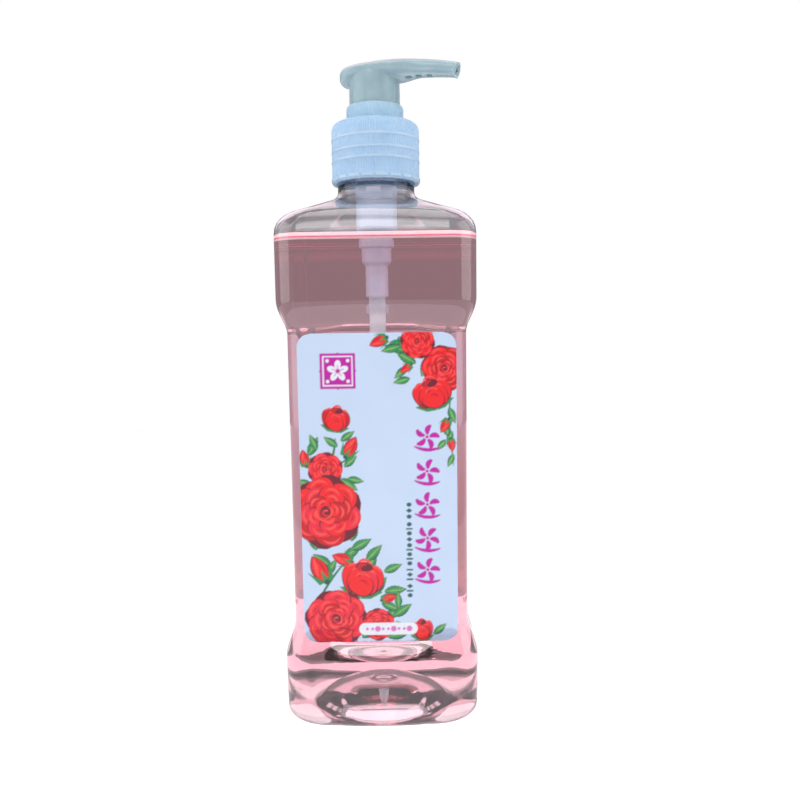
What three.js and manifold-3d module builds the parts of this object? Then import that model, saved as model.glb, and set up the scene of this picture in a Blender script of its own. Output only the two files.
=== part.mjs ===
// Pump oil bottle: a square blow-moulded bottle of oil with a 28-410 lotion pump screwed on its neck.
// Millimetres, +Z up, origin at the middle of the base. The labelled front faces -Y.
import * as THREE from 'three';
import { mergeVertices } from 'three/addons/utils/BufferGeometryUtils.js';
import Module from 'manifold-3d';

// ---------------------------------------------------------------- driving dimensions

// Bottle. A section is a rounded square, given by half its width and its corner radius.
const WALL = 0.8;
const BLOCK_HALF = 34.25;
const BLOCK_CORNER = 10;
const WAIST_HALF = 30.65;
const WAIST_CORNER = 6.5;
const BASE_ROUND = 5;
const BASE_BLOCK_TOP = 26.5;
const WAIST_BOTTOM = 31;
const WAIST_TOP = 142;
const TOP_BLOCK_BOTTOM = 147.8;
const SHOULDER_START = 171.8;
const SHOULDER_ROUND = 10;
const SHOULDER_SLOPE = THREE.MathUtils.degToRad(24);
const NECK_FILLET = 5;
const STANDING_RING_RADIUS = 24.5;
const DOME_HEIGHT = 8;

// Neck finish, 28-410: T 27.5, E 25.1, six threads to the inch.
const NECK_BEAD_RADIUS = 14;
const NECK_BEAD_TOP = 191.4;
const NECK_RADIUS = 12.55;
const NECK_BORE = 10.85;
const NECK_TOP = 209.9;
const THREAD_PITCH = 25.4 / 6;
const NECK_THREAD = { root: 12.3, crest: 13.75, rootWidth: 2, crestWidth: 1, turns: 1.25, startZ: 196.6 };

// Oil: fills the cavity to its level, clear of the wall and of the pump that stands in it.
const OIL_LEVEL = 171.5;
const OIL_GAP = 0.3;

// Labels, one on the front and one on the back.
const LABEL_WIDTH = 53.6;
const LABEL_BOTTOM = 31.2;
const LABEL_TOP = 138.7;
const LABEL_CORNER = 4.8;
const LABEL_THICKNESS = 0.2;
const LABEL_GAP = 0.05;

// Closure: the ribbed screw cap.
const CLOSURE_RADIUS = 15.925;
const CLOSURE_INNER = 14.35;
const CLOSURE_BOTTOM = 192.2;
const CLOSURE_TOP = 213.7;
const CLOSURE_ROUND = 2.8;
const DECK_BOTTOM = 212.6;
const DECK_HOLE = 9.1;
const CLOSURE_THREAD = {
  root: 14.6, crest: 12.95, rootWidth: 1.9, crestWidth: 1, turns: 1,
  startZ: NECK_THREAD.startZ - THREAD_PITCH / 2,
};

// Lock collar, which snaps over the housing's rim and traps the closure.
const COLLAR_RADIUS = 10.375;
const COLLAR_BORE = 9.5;
const COLLAR_BOTTOM = 213.9;
const COLLAR_TOP = 219.6;
const COLLAR_WEB = { bottom: 215.2, top: 216.2 };
const COLLAR_SKIRT = { bore: 8.35, radius: 8.9, bottom: 212.9 };
const GUIDE = { bore: 4.15, radius: 5.2, bottom: 200.6 };

// Pump housing, a stepped barrel hung from its flange.
const GASKET = { bore: 7.9, radius: 12.4, bottom: 210.05, top: 211 };
const FLANGE = { radius: 12.4, bottom: 211.1, top: 212.4 };
const RIM = { radius: 8.2, top: 215 };
const BARREL = { radius: 7.55, bore: 6.35, bottom: 176 };
const LOWER_BARREL = { radius: 6, bottom: 171.1 };
const HOUSING_RING = { radius: 6.3, bottom: 168.3 };
const SPRING_CUP = { radius: 5.3, bore: 3.2, bottom: 163.4, taper: 1.4 };
const TUBE_SOCKET = { radius: 4.05, bore: 3.05, bottom: 151.3 };
const BALL_POCKET = { radius: 2.9, top: 163.7, bottom: 159.8, hole: 1.3, seatZ: 158.9, floor: 158.6 };

// Valve parts, spring and dip tube.
const DIP_TUBE = { radius: 2.95, bore: 2.25, bottom: 21, top: 158.4 };
const INLET_BALL = { radius: 2, z: 160.56 };
const RETAINER = { radius: 3.05, bottom: 163.8, top: 164.6, slotHalf: 2.4, slotWidth: 1.2 };
const SPRING = { radius: 2.4, wire: 0.38, bottom: 164.7, top: 175.1, turns: 9 };
const PISTON_SEAT = {
  rod: 1.2, disc: 4.2, boss: 2.9, bottom: 175.2, discBottom: 176.4, discTop: 177.4, top: 200,
};
const PISTON_SEAL = { bore: 1.6, waist: 5.5, lip: 6.2, bottom: 177.6, top: 183.1, lipHeight: 1 };
const STEM = { radius: 3.9, bore: 1.8, foot: 5.6, bottom: 183.4, footTop: 184.4, top: 226.4 };
const OUTLET_BALL = { radius: 2.2, z: 222.6 };
const BALL_SEAT = { radius: 2.9, z: 221.2 };

// Actuator head: an arched, domed bar from the thumb end to the spout's tip, on a column that has
// a socket for the stem.
const SPOUT_YAW = THREE.MathUtils.degToRad(-17);
const THUMB_END = 12.5;
const SPOUT_TIP = 31.8;
const TIP_SLANT = 2.2;
const SPOUT_ROOT = { start: 7, full: 19 };
const HEAD_HALF_WIDTH = { pad: 9.2, root: 4.6, tip: 4 };
const HEAD_THICKNESS = { pad: 6.6, root: 5.6, tip: 4.7 };
const HEAD_DOME = { pad: 3.2, spout: 1.3 };
const HEAD_TOP = 235.4;
const ARCH = { crest: 4, drop: 3.4 };
const COLUMN = { radius: 9.2, inner: 8, bottom: 216.5, roof: 226.2, top: 230.8 };
const STEM_SOCKET = { radius: 5.4, bore: 4.2, bottom: 218.2, roof: 226.8 };
const OUTLET = { half: 1.6, z: 229.8 };

// How finely round things are divided.
const CORNER_STEPS = 6;
const ROUND_SIDES = 4 * CORNER_STEPS;

// ---------------------------------------------------------------- solids

const wasm = await Module();
wasm.setup();

// Positions only, shared vertices merged, no collapsed triangles and the faces turned outwards.
function closedBody(source) {
  const positionOnly = source.clone();
  positionOnly.deleteAttribute('normal');
  positionOnly.deleteAttribute('uv');
  const merged = mergeVertices(positionOnly, 1e-4);
  const position = merged.attributes.position;
  const corners = [0, 1, 2].map(() => new THREE.Vector3());
  const faces = [];
  let volume = 0;
  for (let i = 0; i < merged.index.count; i += 3) {
    const face = [0, 1, 2].map((k) => merged.index.getX(i + k));
    if (new Set(face).size < 3) continue;
    faces.push(face);
    corners.forEach((corner, k) => corner.fromBufferAttribute(position, face[k]));
    volume += corners[0].dot(corners[1].clone().cross(corners[2]));
  }
  const outward = volume > 0 ? faces : faces.map(([a, b, c]) => [a, c, b]);
  merged.setIndex(outward.flat());
  return merged;
}

// A body through rings of equally many points. Its two ends are capped, or joined if it is a loop.
function loft(rings, isLoop = false) {
  const count = rings[0].length;
  const positions = rings.flat();
  const index = [];
  const spans = isLoop ? rings.length : rings.length - 1;
  for (let ring = 0; ring < spans; ring += 1) {
    const next = (ring + 1) % rings.length;
    for (let i = 0; i < count; i += 1) {
      const j = (i + 1) % count;
      const [a, b, c, d] = [ring * count + i, ring * count + j, next * count + j, next * count + i];
      index.push(a, b, c, a, c, d);
    }
  }
  const addCap = (ring, order) => {
    const centre = [0, 1, 2].map((axis) => rings[ring].reduce((sum, point) => sum + point[axis], 0) / count);
    positions.push(centre);
    for (let i = 0; i < count; i += 1) {
      const edge = [ring * count + i, ring * count + ((i + 1) % count)];
      index.push(positions.length - 1, edge[order], edge[1 - order]);
    }
  };
  if (!isLoop) {
    addCap(0, 1);
    addCap(rings.length - 1, 0);
  }
  const geometry = new THREE.BufferGeometry();
  geometry.setAttribute('position', new THREE.Float32BufferAttribute(positions.flat(), 3));
  geometry.setIndex(index);
  return closedBody(geometry);
}

// A turned piece from its profile of [radius, z] points, closed on itself.
function turned(profile, sides = ROUND_SIDES) {
  const points = [...profile, profile[0]].map(([radius, z]) => new THREE.Vector2(radius, z));
  return closedBody(new THREE.LatheGeometry(points, sides).rotateX(Math.PI / 2));
}

function toManifold(geometry) {
  return new wasm.Manifold(new wasm.Mesh({
    numProp: 3,
    vertProperties: new Float32Array(geometry.attributes.position.array),
    triVerts: new Uint32Array(geometry.index.array),
  }));
}

function fromManifold(solid) {
  const mesh = solid.getMesh();
  const geometry = new THREE.BufferGeometry();
  geometry.setAttribute('position', new THREE.Float32BufferAttribute(mesh.vertProperties, 3));
  geometry.setIndex([...mesh.triVerts]);
  return geometry;
}

function joined(...geometries) {
  return fromManifold(geometries.map(toManifold).reduce((sum, solid) => sum.add(solid)));
}

function cut(geometry, ...tools) {
  return fromManifold(tools.map(toManifold).reduce((rest, tool) => rest.subtract(tool), toManifold(geometry)));
}

// Points of an arc in the [radius, z] plane, its angles from the outward direction towards +Z.
function arc(centreRadius, centreZ, radius, fromAngle, toAngle, steps) {
  return Array.from({ length: steps + 1 }, (_, i) => {
    const angle = THREE.MathUtils.lerp(fromAngle, toAngle, i / steps);
    return [centreRadius + radius * Math.cos(angle), centreZ + radius * Math.sin(angle)];
  });
}

// A rounded square with its flat sides at exactly half; a circle where the corner radius fills it.
function squareRing(half, corner, z) {
  const step = Math.PI / 2 / CORNER_STEPS;
  const centre = Math.max(0, half - corner * Math.cos(step / 2));
  return Array.from({ length: ROUND_SIDES }, (_, i) => {
    const quadrant = Math.floor(i / CORNER_STEPS) * Math.PI / 2 + Math.PI / 4;
    const angle = (i + 0.5) * step;
    return [
      centre * Math.sign(Math.cos(quadrant)) + corner * Math.cos(angle),
      centre * Math.sign(Math.sin(quadrant)) + corner * Math.sin(angle),
      z,
    ];
  });
}

const circleRing = (radius, z) => squareRing(0, radius, z);

// A thread: a tapered ridge that climbs one pitch a turn, run out to nothing at both ends.
function helicalRidge({ root, crest, rootWidth, crestWidth, turns, startZ }) {
  const steps = Math.round(turns * ROUND_SIDES);
  const runOut = 3;
  const rings = [];
  for (let i = 0; i <= steps; i += 1) {
    const angle = (i / ROUND_SIDES) * 2 * Math.PI;
    const z = startZ + (i / ROUND_SIDES) * THREAD_PITCH;
    const height = THREE.MathUtils.clamp(Math.min(i, steps - i) / runOut, 0.15, 1);
    const top = THREE.MathUtils.lerp(root, crest, height);
    const section = [
      [root, -rootWidth / 2], [top, -crestWidth / 2], [top, crestWidth / 2], [root, rootWidth / 2],
    ];
    rings.push(section.map(([r, dz]) => [r * Math.cos(angle), r * Math.sin(angle), z + dz]));
  }
  return loft(rings);
}

// ---------------------------------------------------------------- bottle, oil and labels

// Rings of the body from the standing ring to the neck, on the surface that lies inset below the skin.
function bodyRings(inset) {
  const rings = [];
  const add = (half, corner, z) => rings.push(squareRing(half - inset, corner - inset, z));
  const base = arc(BLOCK_HALF - BASE_ROUND, BASE_ROUND, BASE_ROUND - inset, -Math.PI / 2, 0, 3);
  base.forEach(([half, z]) => rings.push(squareRing(half, BLOCK_CORNER + 1 - inset, z)));
  add(BLOCK_HALF, BLOCK_CORNER, BASE_BLOCK_TOP);
  add(WAIST_HALF, WAIST_CORNER, WAIST_BOTTOM);
  add(WAIST_HALF, WAIST_CORNER, WAIST_TOP);
  add(BLOCK_HALF, BLOCK_CORNER, TOP_BLOCK_BOTTOM);
  const slopeNormal = Math.PI / 2 - SHOULDER_SLOPE;
  const edgeCentre = BLOCK_HALF - SHOULDER_ROUND;
  const neck = NECK_BEAD_RADIUS;
  const { mapLinear } = THREE.MathUtils;
  const cornerAt = (half) => mapLinear(half, neck, BLOCK_HALF - inset, neck, BLOCK_CORNER - inset);
  arc(edgeCentre, SHOULDER_START, SHOULDER_ROUND - inset, 0, slopeNormal, 4)
    .forEach(([half, z]) => rings.push(squareRing(half, cornerAt(half), z)));
  const fillet = neckFillet();
  arc(fillet.radius, fillet.z, NECK_FILLET + inset, slopeNormal + Math.PI, Math.PI, 3)
    .forEach(([half, z]) => rings.push(circleRing(half, z)));
  return rings;
}

// Centre of the fillet that joins the sloping shoulder to the upright neck.
function neckFillet() {
  const radius = NECK_BEAD_RADIUS + NECK_FILLET;
  const run = BLOCK_HALF - SHOULDER_ROUND - radius;
  const offset = SHOULDER_ROUND + NECK_FILLET + run * Math.sin(SHOULDER_SLOPE);
  return { radius, z: SHOULDER_START + offset / Math.cos(SHOULDER_SLOPE) };
}

// Rings of the pushed-up base, from its middle out to the standing ring, raised by lift.
function baseRings(lift) {
  const profile = [[4, 1], [12, 0.94], [20, 0.55], [STANDING_RING_RADIUS, 0]];
  return profile.map(([radius, height]) => circleRing(radius, DOME_HEIGHT * height + lift));
}

function bottleGeometry() {
  const outside = [...baseRings(0), ...bodyRings(0)];
  const finish = [
    [NECK_BEAD_RADIUS, NECK_BEAD_TOP],
    [NECK_RADIUS, NECK_BEAD_TOP + 0.6],
    [NECK_RADIUS, NECK_TOP],
    [NECK_BORE, NECK_TOP],
    [NECK_BORE, NECK_BEAD_TOP],
  ].map(([radius, z]) => circleRing(radius, z));
  const inside = [...baseRings(WALL), ...bodyRings(WALL)].reverse();
  return joined(loft([...outside, ...finish, ...inside]), helicalRidge(NECK_THREAD));
}

// The oil's bore follows the pump, widening upwards so that the pump can be drawn up out of it.
function oilGeometry() {
  const inset = WALL + OIL_GAP;
  const outside = [...baseRings(inset), ...bodyRings(inset)].filter((ring) => ring[0][2] < SHOULDER_START - 1);
  const surface = squareRing(BLOCK_HALF - inset, BLOCK_CORNER - inset, OIL_LEVEL);
  const bore = [
    [HOUSING_RING.radius, OIL_LEVEL],
    [HOUSING_RING.radius, HOUSING_RING.bottom],
    [SPRING_CUP.radius, HOUSING_RING.bottom],
    [SPRING_CUP.radius, SPRING_CUP.bottom],
    [TUBE_SOCKET.radius, SPRING_CUP.bottom - SPRING_CUP.taper],
    [TUBE_SOCKET.radius, TUBE_SOCKET.bottom],
    [DIP_TUBE.radius, TUBE_SOCKET.bottom],
    [DIP_TUBE.radius, DIP_TUBE.bottom],
  ].map(([radius, z]) => circleRing(radius + OIL_GAP, z - OIL_GAP));
  bore[0] = circleRing(HOUSING_RING.radius + OIL_GAP, OIL_LEVEL);
  return loft([...outside, surface, ...bore]);
}

function labelGeometry() {
  const half = LABEL_WIDTH / 2;
  const corner = LABEL_CORNER;
  const outline = new THREE.Shape();
  outline.absarc(half - corner, LABEL_TOP - corner, corner, 0, Math.PI / 2);
  outline.absarc(corner - half, LABEL_TOP - corner, corner, Math.PI / 2, Math.PI);
  outline.absarc(corner - half, LABEL_BOTTOM + corner, corner, Math.PI, 1.5 * Math.PI);
  outline.absarc(half - corner, LABEL_BOTTOM + corner, corner, 1.5 * Math.PI, 2 * Math.PI);
  const extrusion = { depth: LABEL_THICKNESS, bevelEnabled: false, curveSegments: 4 };
  const sheet = new THREE.ExtrudeGeometry(outline, extrusion);
  return closedBody(sheet.rotateX(Math.PI / 2).translate(0, -WAIST_HALF - LABEL_GAP, 0));
}

// ---------------------------------------------------------------- closure and collar

function closureGeometry() {
  const edge = arc(CLOSURE_RADIUS - CLOSURE_ROUND, CLOSURE_TOP - CLOSURE_ROUND, CLOSURE_ROUND, 0, Math.PI / 2, 3);
  const shell = turned([
    [CLOSURE_RADIUS, CLOSURE_BOTTOM],
    ...edge,
    [DECK_HOLE, CLOSURE_TOP],
    [DECK_HOLE, DECK_BOTTOM],
    [CLOSURE_INNER, DECK_BOTTOM],
    [CLOSURE_INNER, CLOSURE_BOTTOM],
  ], 36);
  return joined(shell, helicalRidge(CLOSURE_THREAD));
}

function lockCollarGeometry() {
  return turned([
    [COLLAR_RADIUS, COLLAR_BOTTOM],
    ...arc(COLLAR_RADIUS - 0.8, COLLAR_TOP - 0.8, 0.8, 0, Math.PI / 2, 2),
    [COLLAR_BORE, COLLAR_TOP],
    [COLLAR_BORE, COLLAR_WEB.top],
    [GUIDE.bore, COLLAR_WEB.top],
    [GUIDE.bore, GUIDE.bottom],
    [GUIDE.radius, GUIDE.bottom],
    [GUIDE.radius, COLLAR_WEB.bottom],
    [COLLAR_SKIRT.bore, COLLAR_WEB.bottom],
    [COLLAR_SKIRT.bore, COLLAR_SKIRT.bottom],
    [COLLAR_SKIRT.radius, COLLAR_SKIRT.bottom],
    [COLLAR_SKIRT.radius, COLLAR_BOTTOM],
  ]);
}

// ---------------------------------------------------------------- pump

const tube = (bore, radius, bottom, top) => turned([
  [radius, bottom], [radius, top], [bore, top], [bore, bottom],
]);

function housingGeometry() {
  return turned([
    [TUBE_SOCKET.radius, TUBE_SOCKET.bottom],
    [TUBE_SOCKET.radius, SPRING_CUP.bottom - SPRING_CUP.taper],
    [SPRING_CUP.radius, SPRING_CUP.bottom],
    [SPRING_CUP.radius, HOUSING_RING.bottom],
    [HOUSING_RING.radius, HOUSING_RING.bottom],
    [HOUSING_RING.radius, LOWER_BARREL.bottom],
    [LOWER_BARREL.radius, LOWER_BARREL.bottom],
    [LOWER_BARREL.radius, BARREL.bottom - 1.2],
    [BARREL.radius, BARREL.bottom],
    [BARREL.radius, FLANGE.bottom],
    [FLANGE.radius, FLANGE.bottom],
    [FLANGE.radius, FLANGE.top],
    [RIM.radius, FLANGE.top],
    [RIM.radius, RIM.top],
    [BARREL.bore, RIM.top],
    [BARREL.bore, BARREL.bottom + 1],
    [SPRING_CUP.bore, BARREL.bottom - 0.6],
    [SPRING_CUP.bore, BALL_POCKET.top],
    [BALL_POCKET.radius, BALL_POCKET.top],
    [BALL_POCKET.radius, BALL_POCKET.bottom],
    [BALL_POCKET.hole, BALL_POCKET.seatZ],
    [BALL_POCKET.hole, BALL_POCKET.floor],
    [TUBE_SOCKET.bore, BALL_POCKET.floor],
    [TUBE_SOCKET.bore, TUBE_SOCKET.bottom],
  ]);
}

function ballGeometry({ radius, z }) {
  return closedBody(new THREE.SphereGeometry(radius, 14, 9).rotateX(Math.PI / 2).translate(0, 0, z));
}

// A disc over the inlet ball with a cross-shaped hole that the ball can't close.
function ballRetainerGeometry() {
  const disc = new THREE.Shape().absarc(0, 0, RETAINER.radius, 0, 2 * Math.PI);
  const [far, near] = [RETAINER.slotHalf, RETAINER.slotWidth / 2];
  const quarter = [[far, near], [near, near], [near, far]];
  const cross = [0, 1, 2, 3].flatMap((turn) => quarter.map(([x, y]) => (
    new THREE.Vector2(x, y).rotateAround(new THREE.Vector2(), turn * Math.PI / 2))));
  disc.holes.push(new THREE.Path(cross));
  const depth = RETAINER.top - RETAINER.bottom;
  const plate = new THREE.ExtrudeGeometry(disc, { depth, bevelEnabled: false, curveSegments: 10 });
  return closedBody(plate.translate(0, 0, RETAINER.bottom));
}

class SpringPath extends THREE.Curve {
  getPoint(t, target = new THREE.Vector3()) {
    const angle = 2 * Math.PI * SPRING.turns * t;
    const z = THREE.MathUtils.lerp(SPRING.bottom + SPRING.wire, SPRING.top - SPRING.wire, t);
    return target.set(SPRING.radius * Math.cos(angle), SPRING.radius * Math.sin(angle), z);
  }
}

function springGeometry() {
  const wire = new THREE.Shape().absarc(0, 0, SPRING.wire, 0, 2 * Math.PI);
  return closedBody(new THREE.ExtrudeGeometry(wire, {
    extrudePath: new SpringPath(), steps: 12 * SPRING.turns, curveSegments: 3, bevelEnabled: false,
  }));
}

function pistonSeatGeometry() {
  const seat = PISTON_SEAT;
  const profile = [
    [0, seat.bottom], [seat.boss, seat.bottom], [seat.boss, seat.discBottom], [seat.disc, seat.discBottom],
    [seat.disc, seat.discTop], [seat.rod, seat.discTop], [seat.rod, seat.top], [0, seat.top],
  ].map(([radius, z]) => new THREE.Vector2(radius, z));
  return closedBody(new THREE.LatheGeometry(profile, ROUND_SIDES).rotateX(Math.PI / 2));
}

function pistonSealGeometry() {
  const { bore, waist, lip, bottom, top, lipHeight } = PISTON_SEAL;
  return turned([
    [lip, bottom], [lip, bottom + lipHeight], [waist, bottom + lipHeight + 0.6],
    [waist, top - lipHeight - 0.6], [lip, top - lipHeight], [lip, top], [bore, top], [bore, bottom],
  ]);
}

// The stem's bore widens at its top into the pocket that holds the outlet ball.
function stemGeometry() {
  return turned([
    [STEM.foot, STEM.bottom], [STEM.foot, STEM.footTop], [STEM.radius, STEM.footTop], [STEM.radius, STEM.top],
    [BALL_SEAT.radius, STEM.top], [BALL_SEAT.radius, BALL_SEAT.z], [STEM.bore, BALL_SEAT.z - 0.4],
    [STEM.bore, STEM.bottom],
  ]);
}

// ---------------------------------------------------------------- actuator head

// Cross-section of the head at x, domed on top. Its foot is set back by the slant.
function headSection(x, slant = 0) {
  const { lerp, smoothstep, clamp } = THREE.MathUtils;
  const taper = smoothstep(x, SPOUT_ROOT.start, SPOUT_ROOT.full);
  const along = clamp((x - SPOUT_ROOT.full) / (SPOUT_TIP - SPOUT_ROOT.full), 0, 1);
  const round = x < 0 ? (1 - (-x / THUMB_END) ** 3) ** 0.5 : 1;
  const spoutHalf = lerp(HEAD_HALF_WIDTH.root, HEAD_HALF_WIDTH.tip, along);
  const half = lerp(HEAD_HALF_WIDTH.pad * round, spoutHalf, taper);
  const blunt = Math.min(1, 0.55 + round * 0.75);
  const middle = HEAD_TOP - ARCH.drop * ((x - ARCH.crest) / (SPOUT_TIP - ARCH.crest)) ** 2;
  const spoutThickness = lerp(HEAD_THICKNESS.root, HEAD_THICKNESS.tip, along);
  const thickness = lerp(HEAD_THICKNESS.pad, spoutThickness, taper) * blunt;
  const top = middle - HEAD_THICKNESS.pad * (1 - blunt) * 0.3;
  const bottom = top - thickness;
  const dome = lerp(HEAD_DOME.pad, HEAD_DOME.spout, taper) * blunt;
  const edge = Math.min(1.2, half * 0.5);
  return [
    [half - edge, bottom], [half, bottom + edge], [half, top - dome], [half * 0.6, top - dome * 0.3], [0, top],
    [-half * 0.6, top - dome * 0.3], [-half, top - dome], [-half, bottom + edge], [edge - half, bottom],
  ].map(([y, z]) => [x - slant * (top - z) / thickness, y, z]);
}

function actuatorHeadGeometry() {
  const stations = [-12.4, -12, -11, -9.5, -7, -4, 0, 4, 7, 9, 11, 13, 15, 18, 22, 27];
  const bar = loft([...stations.map((x) => headSection(x)), headSection(SPOUT_TIP, TIP_SLANT)]);
  const column = turned([
    [COLUMN.radius, COLUMN.bottom], [COLUMN.radius, COLUMN.top], [0.9, COLUMN.top],
    [0.9, STEM_SOCKET.roof], [STEM_SOCKET.bore, STEM_SOCKET.roof], [STEM_SOCKET.bore, STEM_SOCKET.bottom],
    [STEM_SOCKET.radius, STEM_SOCKET.bottom], [STEM_SOCKET.radius, COLUMN.roof], [COLUMN.inner, COLUMN.roof],
    [COLUMN.inner, COLUMN.bottom],
  ]);
  const rise = OUTLET.z - STEM_SOCKET.roof + 0.6;
  const riser = new THREE.CylinderGeometry(1.4, 1.4, rise, 12).rotateX(Math.PI / 2);
  riser.translate(0, 0, (OUTLET.z + STEM_SOCKET.roof) / 2);
  const channel = new THREE.CylinderGeometry(OUTLET.half, OUTLET.half, SPOUT_TIP + 2, 4).rotateZ(Math.PI / 2);
  channel.translate((SPOUT_TIP + 2) / 2 - 1, 0, OUTLET.z);
  return cut(joined(bar, column), closedBody(riser), closedBody(channel));
}

// ---------------------------------------------------------------- assembly

function piece(name, geometry, color, roughness, metalness = 0, opacity = 1) {
  const material = new THREE.MeshStandardMaterial({
    color, roughness, metalness, opacity, transparent: opacity < 1,
  });
  const mesh = new THREE.Mesh(geometry, material);
  mesh.name = name;
  return mesh;
}

const bottle = new THREE.Group();
bottle.add(piece('bottle', bottleGeometry(), 0xe4dde2, 0.08, 0, 0.35));
bottle.add(piece('oil', oilGeometry(), 0xf7c3cf, 0.05, 0, 0.6));
bottle.add(piece('front_label', labelGeometry(), 0xdbe6f8, 0.45));
const backLabel = piece('back_label', labelGeometry(), 0xdbe6f8, 0.45);
backLabel.rotation.z = Math.PI;
bottle.add(backLabel);

const pump = new THREE.Group();
pump.add(piece('closure', closureGeometry(), 0xaacdeb, 0.4));
pump.add(piece('lock_collar', lockCollarGeometry(), 0xa5c8dc, 0.4));
pump.add(piece('neck_gasket', tube(GASKET.bore, GASKET.radius, GASKET.bottom, GASKET.top), 0xe6e6e6, 0.8));
pump.add(piece('pump_housing', housingGeometry(), 0xd6d0e2, 0.35));
const dipTube = tube(DIP_TUBE.bore, DIP_TUBE.radius, DIP_TUBE.bottom, DIP_TUBE.top);
pump.add(piece('dip_tube', dipTube, 0xe0d6e4, 0.35));
pump.add(piece('inlet_ball', ballGeometry(INLET_BALL), 0xc8c8cc, 0.2, 1));
pump.add(piece('ball_retainer', ballRetainerGeometry(), 0xe0d6e4, 0.4));
pump.add(piece('return_spring', springGeometry(), 0xb4b4b8, 0.25, 1));
pump.add(piece('piston_seat', pistonSeatGeometry(), 0xe0e0e4, 0.4));
pump.add(piece('piston_seal', pistonSealGeometry(), 0xe8e8ea, 0.5));

const head = new THREE.Group();
head.rotation.z = SPOUT_YAW;
head.add(piece('pump_stem', stemGeometry(), 0xe0e4e8, 0.35));
head.add(piece('outlet_ball', ballGeometry(OUTLET_BALL), 0xc8c8cc, 0.2, 1));
head.add(piece('actuator_head', actuatorHeadGeometry(), 0x96aaaf, 0.4));

const pumpBottle = new THREE.Group();
pumpBottle.add(bottle, pump, head);

export default pumpBottle;
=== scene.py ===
import math
import random

import bmesh
import bpy
import numpy as np
from mathutils import Euler, Matrix, Vector


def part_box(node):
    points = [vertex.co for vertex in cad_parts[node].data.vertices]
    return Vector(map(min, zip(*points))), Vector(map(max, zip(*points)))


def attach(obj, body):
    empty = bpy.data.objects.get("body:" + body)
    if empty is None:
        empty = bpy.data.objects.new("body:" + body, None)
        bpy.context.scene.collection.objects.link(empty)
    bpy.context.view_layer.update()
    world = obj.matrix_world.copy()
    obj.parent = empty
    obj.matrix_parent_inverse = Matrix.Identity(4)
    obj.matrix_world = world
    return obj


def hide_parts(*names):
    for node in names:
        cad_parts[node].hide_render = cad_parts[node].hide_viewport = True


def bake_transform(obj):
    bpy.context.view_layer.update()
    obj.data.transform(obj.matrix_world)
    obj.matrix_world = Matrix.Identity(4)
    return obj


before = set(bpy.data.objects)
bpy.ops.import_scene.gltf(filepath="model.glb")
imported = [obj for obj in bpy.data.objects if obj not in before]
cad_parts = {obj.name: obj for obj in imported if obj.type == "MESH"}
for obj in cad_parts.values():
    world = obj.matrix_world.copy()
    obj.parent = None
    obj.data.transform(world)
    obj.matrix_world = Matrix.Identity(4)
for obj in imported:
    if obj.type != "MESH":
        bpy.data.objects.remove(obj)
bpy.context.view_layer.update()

MM = 0.001

# Bottle
WALL = 0.8
BLOCK_HALF = 34.25
BLOCK_CORNER = 10.0
WAIST_HALF = 30.65
WAIST_CORNER = 6.5
STANDING_RING = 24.5
NECK_RADIUS = 14.0
NECK_BORE = 10.85
NECK_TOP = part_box("bottle")[1][2] / MM
SHOULDER_EDGE_Z = 178.3
NECK_CORNER_Z = 187.3
OIL_LEVEL = 171.5

# Labels
LABEL_LOW = [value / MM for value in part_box("front_label")[0]]
LABEL_HIGH = [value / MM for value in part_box("front_label")[1]]
LABEL_WIDTH = LABEL_HIGH[0] - LABEL_LOW[0]
LABEL_HEIGHT = LABEL_HIGH[2] - LABEL_LOW[2]
LABEL_CORNER = 4.8

# Head
SPOUT_YAW = math.radians(-17)


# ---------------------------------------------------------------- mesh helpers

# Steps along each softened corner.
TURNED_STEPS = 4
BOTTLE_STEPS = 6


def lerp(a, b, t):
    return a + (b - a) * t


def smoothstep(low, high, x):
    t = min(max((x - low) / (high - low), 0.0), 1.0)
    return t * t * (3 - 2 * t)


def new_object(name, data):
    made = bpy.data.objects.new(name, data)
    bpy.context.scene.collection.objects.link(made)
    return made


def make_piece(name, verts, faces, body, replaced=(), material=None, smooth=True):
    """A mesh object from millimetre points, riding on a body if one is named, and standing for CAD nodes."""
    mesh = bpy.data.meshes.new(name)
    mesh.from_pydata([Vector(v) * MM for v in verts], [], faces)
    mesh.validate()
    mesh.polygons.foreach_set("use_smooth", [smooth] * len(mesh.polygons))
    piece = new_object(name, mesh)
    if material:
        mesh.materials.append(material)
    if body:
        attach(piece, body)
    if replaced:
        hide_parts(*replaced)
    return piece


def loft(rings, loop=False):
    """Vertices and faces through equal rings; the ends are capped unless the rings join up."""
    count = len(rings[0])
    verts = [point for ring in rings for point in ring]
    faces = []
    for k in range(len(rings) if loop else len(rings) - 1):
        low, high = k * count, ((k + 1) % len(rings)) * count
        for i in range(count):
            j = (i + 1) % count
            faces.append((low + i, low + j, high + j, high + i))
    if not loop:
        faces.append(tuple(reversed(range(count))))
        faces.append(tuple(range(len(verts) - count, len(verts))))
    return verts, faces


def joined(solids):
    """Several lofts as one list of vertices and one of faces."""
    verts, faces = [], []
    for solid_verts, solid_faces in solids:
        faces += [tuple(i + len(verts) for i in face) for face in solid_faces]
        verts += solid_verts
    return verts, faces


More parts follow.
